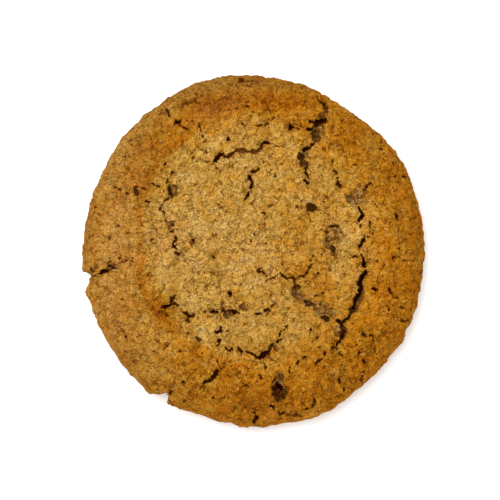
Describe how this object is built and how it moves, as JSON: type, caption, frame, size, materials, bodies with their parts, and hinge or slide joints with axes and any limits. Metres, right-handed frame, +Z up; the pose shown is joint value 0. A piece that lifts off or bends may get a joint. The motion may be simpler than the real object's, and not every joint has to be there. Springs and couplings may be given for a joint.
{
  "type": "snickerdoodle",
  "caption": "Round baked cookie with a raised rim, a slightly sunken cracked top and a flat underside.",
  "frame": {"origin": "centre of the flat underside, at the middle of the outline's box", "axes": "+Z up out of the cracked top, +Y along the length, +X across the width"},
  "size_m": [0.0893, 0.0918, 0.0149],
  "materials": {
    "baked_crust": "matte baked crust"
  },
  "bodies": {
    "root": {"cookie": "baked_crust"}
  },
  "joints": []
}
